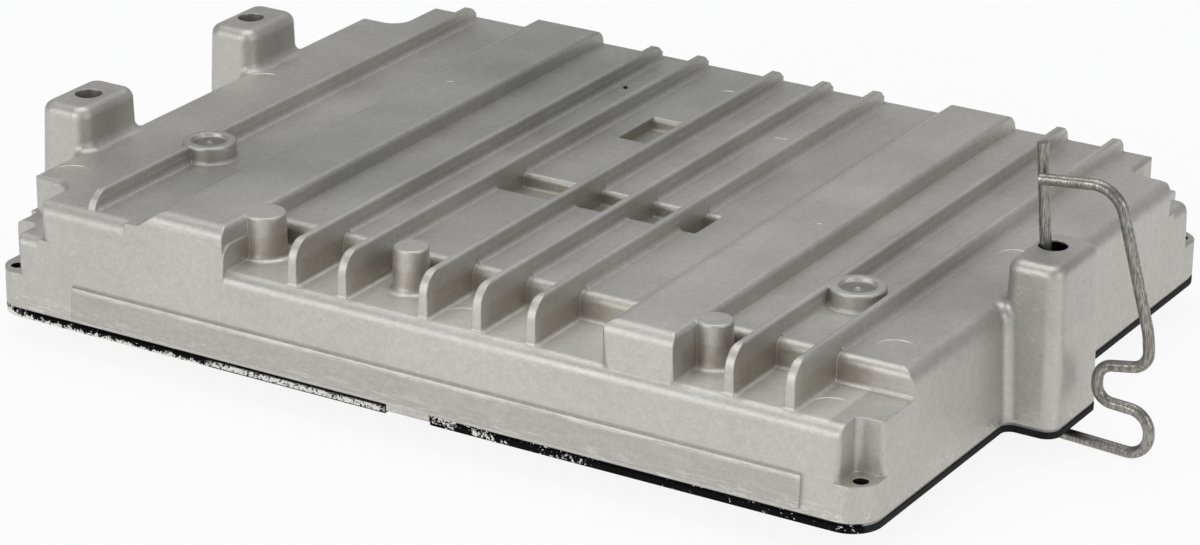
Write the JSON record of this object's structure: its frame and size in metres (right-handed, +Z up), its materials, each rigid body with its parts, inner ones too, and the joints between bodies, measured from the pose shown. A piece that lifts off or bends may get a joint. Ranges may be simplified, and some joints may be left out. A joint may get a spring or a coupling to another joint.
{
  "type": "engine control unit",
  "caption": "Sealed control unit with a ribbed die-cast housing, mounting towers at its sides, a flat base cover, a socket at the back and a bent wire clip.",
  "frame": {"origin": "centre of the base cover's underside", "axes": "+X along the long side towards the single right tower, +Y from the stepped front to the connector side, +Z up out of the ribbed top"},
  "size_m": [0.3118, 0.2132, 0.0794],
  "materials": {
    "housing": "as-cast satin",
    "cover_gasket": "matte",
    "base_cover": "semi-matte black",
    "cover_screws": "zinc plated",
    "retaining_clip": "dull zinc",
    "circuit_board": "solder mask green",
    "board_screws": "zinc plated",
    "connector_header": "moulded black",
    "connector_seal": "matte",
    "connector_screws": "zinc plated",
    "signal_pins": "tinned brass",
    "power_pins": "tinned brass",
    "power_transistors": "moulded black",
    "isolation_strip": "silicone grey",
    "transistor_clamp": "spring steel",
    "clamp_screws": "zinc plated",
    "microcontroller": "moulded black",
    "memory_chip": "moulded black",
    "driver_chips": "moulded black",
    "voltage_regulator": "moulded black",
    "crystal": "pressed can",
    "filter_capacitors": "sleeved can",
    "film_capacitors": "boxed",
    "supply_choke": "enamelled wire on ferrite",
    "suppressor_diodes": "moulded black",
    "sense_resistors": "glazed"
  },
  "bodies": {
    "root": {"housing": "housing", "cover_gasket": "cover_gasket", "base_cover": "base_cover", "cover_screws": "cover_screws", "retaining_clip": "retaining_clip", "circuit_board": "circuit_board", "board_screws": "board_screws", "connector_header": "connector_header", "connector_seal": "connector_seal", "connector_screws": "connector_screws", "signal_pins": "signal_pins", "power_pins": "power_pins", "power_transistors": "power_transistors", "isolation_strip": "isolation_strip", "transistor_clamp": "transistor_clamp", "clamp_screws": "clamp_screws", "microcontroller": "microcontroller", "memory_chip": "memory_chip", "driver_chips": "driver_chips", "voltage_regulator": "voltage_regulator", "crystal": "crystal", "filter_capacitors": "filter_capacitors", "film_capacitors": "film_capacitors", "supply_choke": "supply_choke", "suppressor_diodes": "suppressor_diodes", "sense_resistors": "sense_resistors"}
  },
  "joints": []
}
